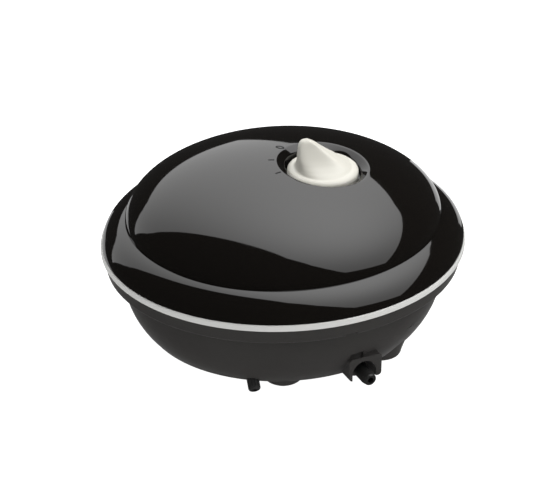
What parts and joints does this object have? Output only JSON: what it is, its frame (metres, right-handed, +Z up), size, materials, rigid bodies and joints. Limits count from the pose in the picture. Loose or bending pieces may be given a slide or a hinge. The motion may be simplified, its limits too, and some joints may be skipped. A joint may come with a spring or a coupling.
{
  "type": "aquarium air pump",
  "caption": "Low oval aquarium air pump with a glossy domed cover, silver trim ring, dark bowl-shaped housing, finned flow knob and a guarded hose nozzle.",
  "frame": {"origin": "on the ground, at the middle of the oval trim ring's box in plan", "axes": "+Z up, +X along the oval's long axis, the air outlet leaves the front towards -Y"},
  "size_m": [0.13, 0.12, 0.0744],
  "materials": {
    "cover_gloss": "high gloss black",
    "housing_matte": "fine-grained matte charcoal",
    "trim_silver": "satin silver",
    "knob_white": "satin warm white",
    "scale_grey": "matte grey print",
    "nozzle_black": "satin black",
    "rubber_black": "matte",
    "rubber_grey": "matte",
    "hose_clear": "milky silicone",
    "screw_steel": "zinc plated",
    "sheet_steel": "rolled sheet",
    "core_steel": "oxidised electrical sheet",
    "magnet_dark": "sintered ferrite",
    "winding_copper": "enamelled copper wire",
    "nylon_white": "natural nylon",
    "chassis_grey": "moulded grey",
    "head_grey": "moulded grey",
    "board_green": "solder mask",
    "component_black": "moulded epoxy",
    "component_yellow": "film capacitor box",
    "component_tan": "lacquered body",
    "terminal_green": "moulded block",
    "lead_insulation": "wire insulation",
    "felt_white": "pressed felt"
  },
  "bodies": {
    "housing": {"lower_housing": "housing_matte", "top_cover": "cover_gloss", "trim_ring": "trim_silver", "housing_gasket": "rubber_grey", "rubber_feet": "rubber_black", "housing_screws": "screw_steel", "scale_marks": "scale_grey", "air_nozzle": "nozzle_black", "nozzle_o_ring": "rubber_black", "outlet_hose": "hose_clear", "cord_gland": "rubber_black", "chassis": "chassis_grey", "vibration_mounts": "rubber_black", "pivot_bracket": "sheet_steel", "pivot_pin": "screw_steel", "bracket_screws": "screw_steel", "core_laminations": "core_steel", "core_screws": "screw_steel", "coil_bobbin": "nylon_white", "coil_winding": "winding_copper", "coil_leads": "lead_insulation", "pump_head": "head_grey", "valve_cover": "head_grey", "valve_cover_gasket": "rubber_grey", "diaphragm": "rubber_black", "diaphragm_clamp": "head_grey", "head_bolts": "screw_steel", "head_nuts": "screw_steel", "head_screws": "screw_steel", "filter_felt": "felt_white", "filter_cover": "housing_matte", "circuit_board": "board_green", "board_screws": "screw_steel", "potentiometer": "component_black", "potentiometer_nut": "screw_steel", "terminal_block": "terminal_green", "capacitor": "component_yellow", "triac": "component_black", "resistors": "component_tan"},
    "knob": {"regulator_knob": "knob_white", "knob_spindle": "sheet_steel"},
    "arm": {"swing_arm": "nylon_white", "arm_bush": "nylon_white", "magnet_keeper": "sheet_steel", "arm_magnets": "magnet_dark", "diaphragm_plates": "sheet_steel", "drive_spacer": "nylon_white", "diaphragm_screw": "screw_steel", "diaphragm_nut": "screw_steel"},
    "inlet_valve": {"inlet_flap": "rubber_black"},
    "outlet_valve": {"outlet_flap": "rubber_black"}
  },
  "joints": [
    {"name": "knob_turn", "type": "hinge", "parent": "housing", "child": "knob", "pos_m": [0.0122, -0.0055, 0.062], "axis": [0, 0, 1], "range_deg": [-146, 12]},
    {"name": "arm_swing", "type": "hinge", "parent": "housing", "child": "arm", "pos_m": [-0.038, 0.008, 0.028], "axis": [0, 0, 1], "range_deg": [-1.2, 1.2], "stiffness_Nm_per_rad": 0.3, "deforming": ["diaphragm"]},
    {"name": "inlet_valve_flap", "type": "hinge", "parent": "housing", "child": "inlet_valve", "pos_m": [-0.0077, -0.0093, 0.0307], "axis": [1, 0, 0], "range_deg": [0, 12], "stiffness_Nm_per_rad": 0.00002},
    {"name": "outlet_valve_flap", "type": "hinge", "parent": "housing", "child": "outlet_valve", "pos_m": [0.0033, -0.0127, 0.0307], "axis": [-1, 0, 0], "range_deg": [0, 12], "stiffness_Nm_per_rad": 0.00002}
  ]
}
